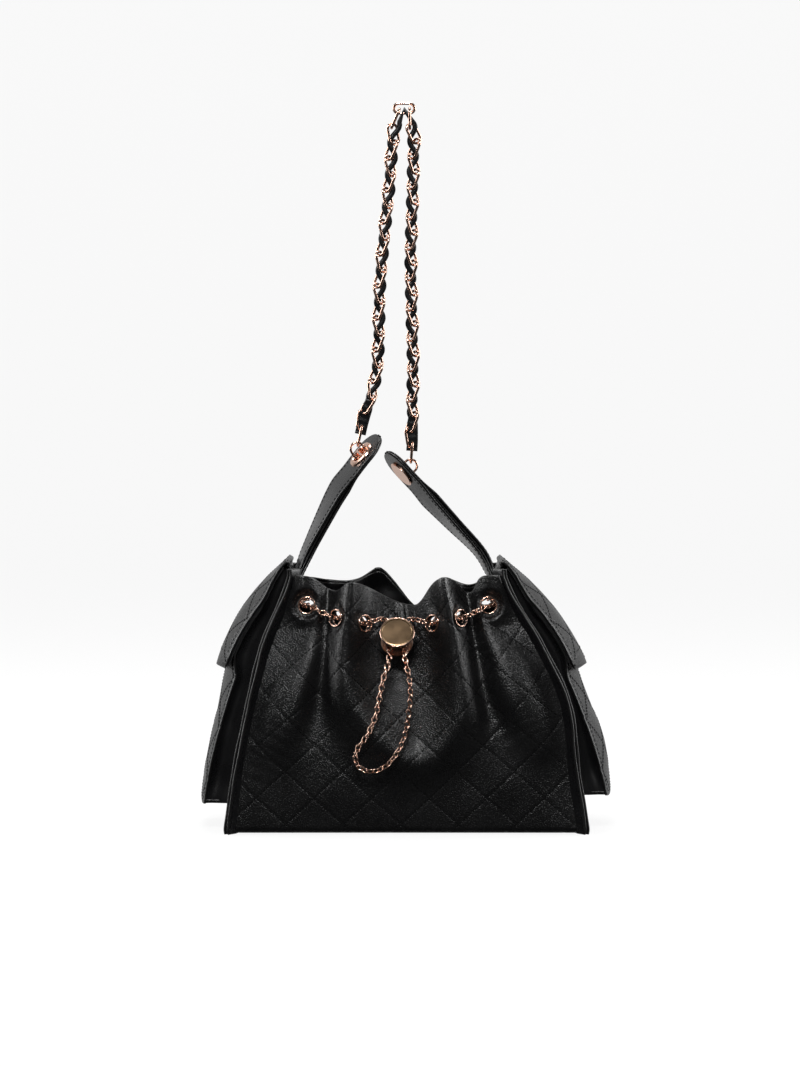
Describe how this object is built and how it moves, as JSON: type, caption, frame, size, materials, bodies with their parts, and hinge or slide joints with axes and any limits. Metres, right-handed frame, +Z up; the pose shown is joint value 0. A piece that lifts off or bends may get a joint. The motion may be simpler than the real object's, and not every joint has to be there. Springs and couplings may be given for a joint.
{
  "type": "bucket bag",
  "caption": "Bucket bag of quilted grained leather with a chain drawstring, sliding toggle, side pockets under flaps, two leather arms and a shoulder chain with woven lace.",
  "frame": {"origin": "centre of the flat base that the bag stands on", "axes": "+Z up, -Y out of the front with the toggle, +X to the viewer's right when looking at the front"},
  "size_m": [0.3474, 0.1599, 0.6119],
  "materials": {
    "grained_leather": "black pebbled leather with quilt stitching, semi-gloss",
    "smooth_leather": "smooth black leather with painted edges, semi-gloss",
    "lining_cloth": "black woven lining, matte",
    "rose_gold": "polished rose gold plate",
    "disc_gold": "satin face with a polished rim",
    "steel_pin": "plain steel",
    "stiff_board": "hidden stiffener"
  },
  "bodies": {
    "bag": {"front_panel": "grained_leather", "back_panel": "grained_leather", "left_side_panel": "grained_leather", "right_side_panel": "grained_leather", "base_panel": "smooth_leather", "base_board": "stiff_board", "lining": "lining_cloth", "front_facing": "smooth_leather", "back_facing": "smooth_leather", "front_left_seam": "smooth_leather", "front_right_seam": "smooth_leather", "back_left_seam": "smooth_leather", "back_right_seam": "smooth_leather", "front_eyelets": "rose_gold", "back_eyelets": "rose_gold", "left_pocket_face": "grained_leather", "right_pocket_face": "grained_leather", "left_pocket_gusset": "smooth_leather", "right_pocket_gusset": "smooth_leather", "left_snap_socket": "rose_gold", "right_snap_socket": "rose_gold", "left_flap_base": "smooth_leather", "right_flap_base": "smooth_leather", "left_arm_outer": "smooth_leather", "left_arm_inner": "smooth_leather", "right_arm_outer": "smooth_leather", "right_arm_inner": "smooth_leather", "left_arm_eyelet": "rose_gold", "right_arm_eyelet": "rose_gold", "left_arm_bar": "rose_gold", "right_arm_bar": "rose_gold", "left_arm_cap": "rose_gold", "right_arm_cap": "rose_gold", "drawstring_loop": "rose_gold", "drawstring_left": "rose_gold", "drawstring_right": "rose_gold", "drawstring_back": "rose_gold"},
    "left_flap": {"left_flap": "grained_leather", "left_flap_lining": "lining_cloth", "left_snap_stud": "rose_gold"},
    "right_flap": {"right_flap": "grained_leather", "right_flap_lining": "lining_cloth", "right_snap_stud": "rose_gold"},
    "left_ring": {"left_end_ring": "rose_gold"},
    "right_ring": {"right_end_ring": "rose_gold"},
    "shoulder_chain": {"left_chain_links": "rose_gold", "right_chain_links": "rose_gold", "top_chain_link": "rose_gold", "shoulder_lace": "smooth_leather", "left_lace_end": "smooth_leather", "right_lace_end": "smooth_leather"},
    "toggle": {"toggle_disc": "disc_gold", "toggle_barrel": "rose_gold", "toggle_flange": "rose_gold", "toggle_rivet": "steel_pin"}
  },
  "joints": [
    {"name": "left_flap_hinge", "type": "hinge", "parent": "bag", "child": "left_flap", "pos_m": [-0.10127, 0, 0.226], "axis": [0, 1, 0], "range_deg": [0, 110]},
    {"name": "right_flap_hinge", "type": "hinge", "parent": "bag", "child": "right_flap", "pos_m": [0.08173, 0, 0.226], "axis": [0, -1, 0], "range_deg": [0, 110]},
    {"name": "toggle_slide", "type": "slide", "parent": "bag", "child": "toggle", "axis": [0, -0.6, -0.8], "range_m": [0, 0.008]},
    {"name": "left_ring_swing", "type": "hinge", "parent": "bag", "child": "left_ring", "pos_m": [-0.03951, -0.00111, 0.31506], "axis": [0.9513, 0.044, -0.3051], "range_deg": [-20, 20]},
    {"name": "right_ring_swing", "type": "hinge", "parent": "bag", "child": "right_ring", "pos_m": [-0.0001, 0.00095, 0.30163], "axis": [0.9513, 0.044, -0.3051], "range_deg": [-20, 20]},
    {"name": "chain_swing", "type": "hinge", "parent": "left_ring", "child": "shoulder_chain", "pos_m": [-0.04069, -0.00111, 0.32459], "axis": [0.9513, 0.044, -0.3051], "range_deg": [-45, 45]}
  ],
  "couplings": [
    {"joint": "right_ring_swing", "follows": "left_ring_swing", "ratio": 1}
  ]
}
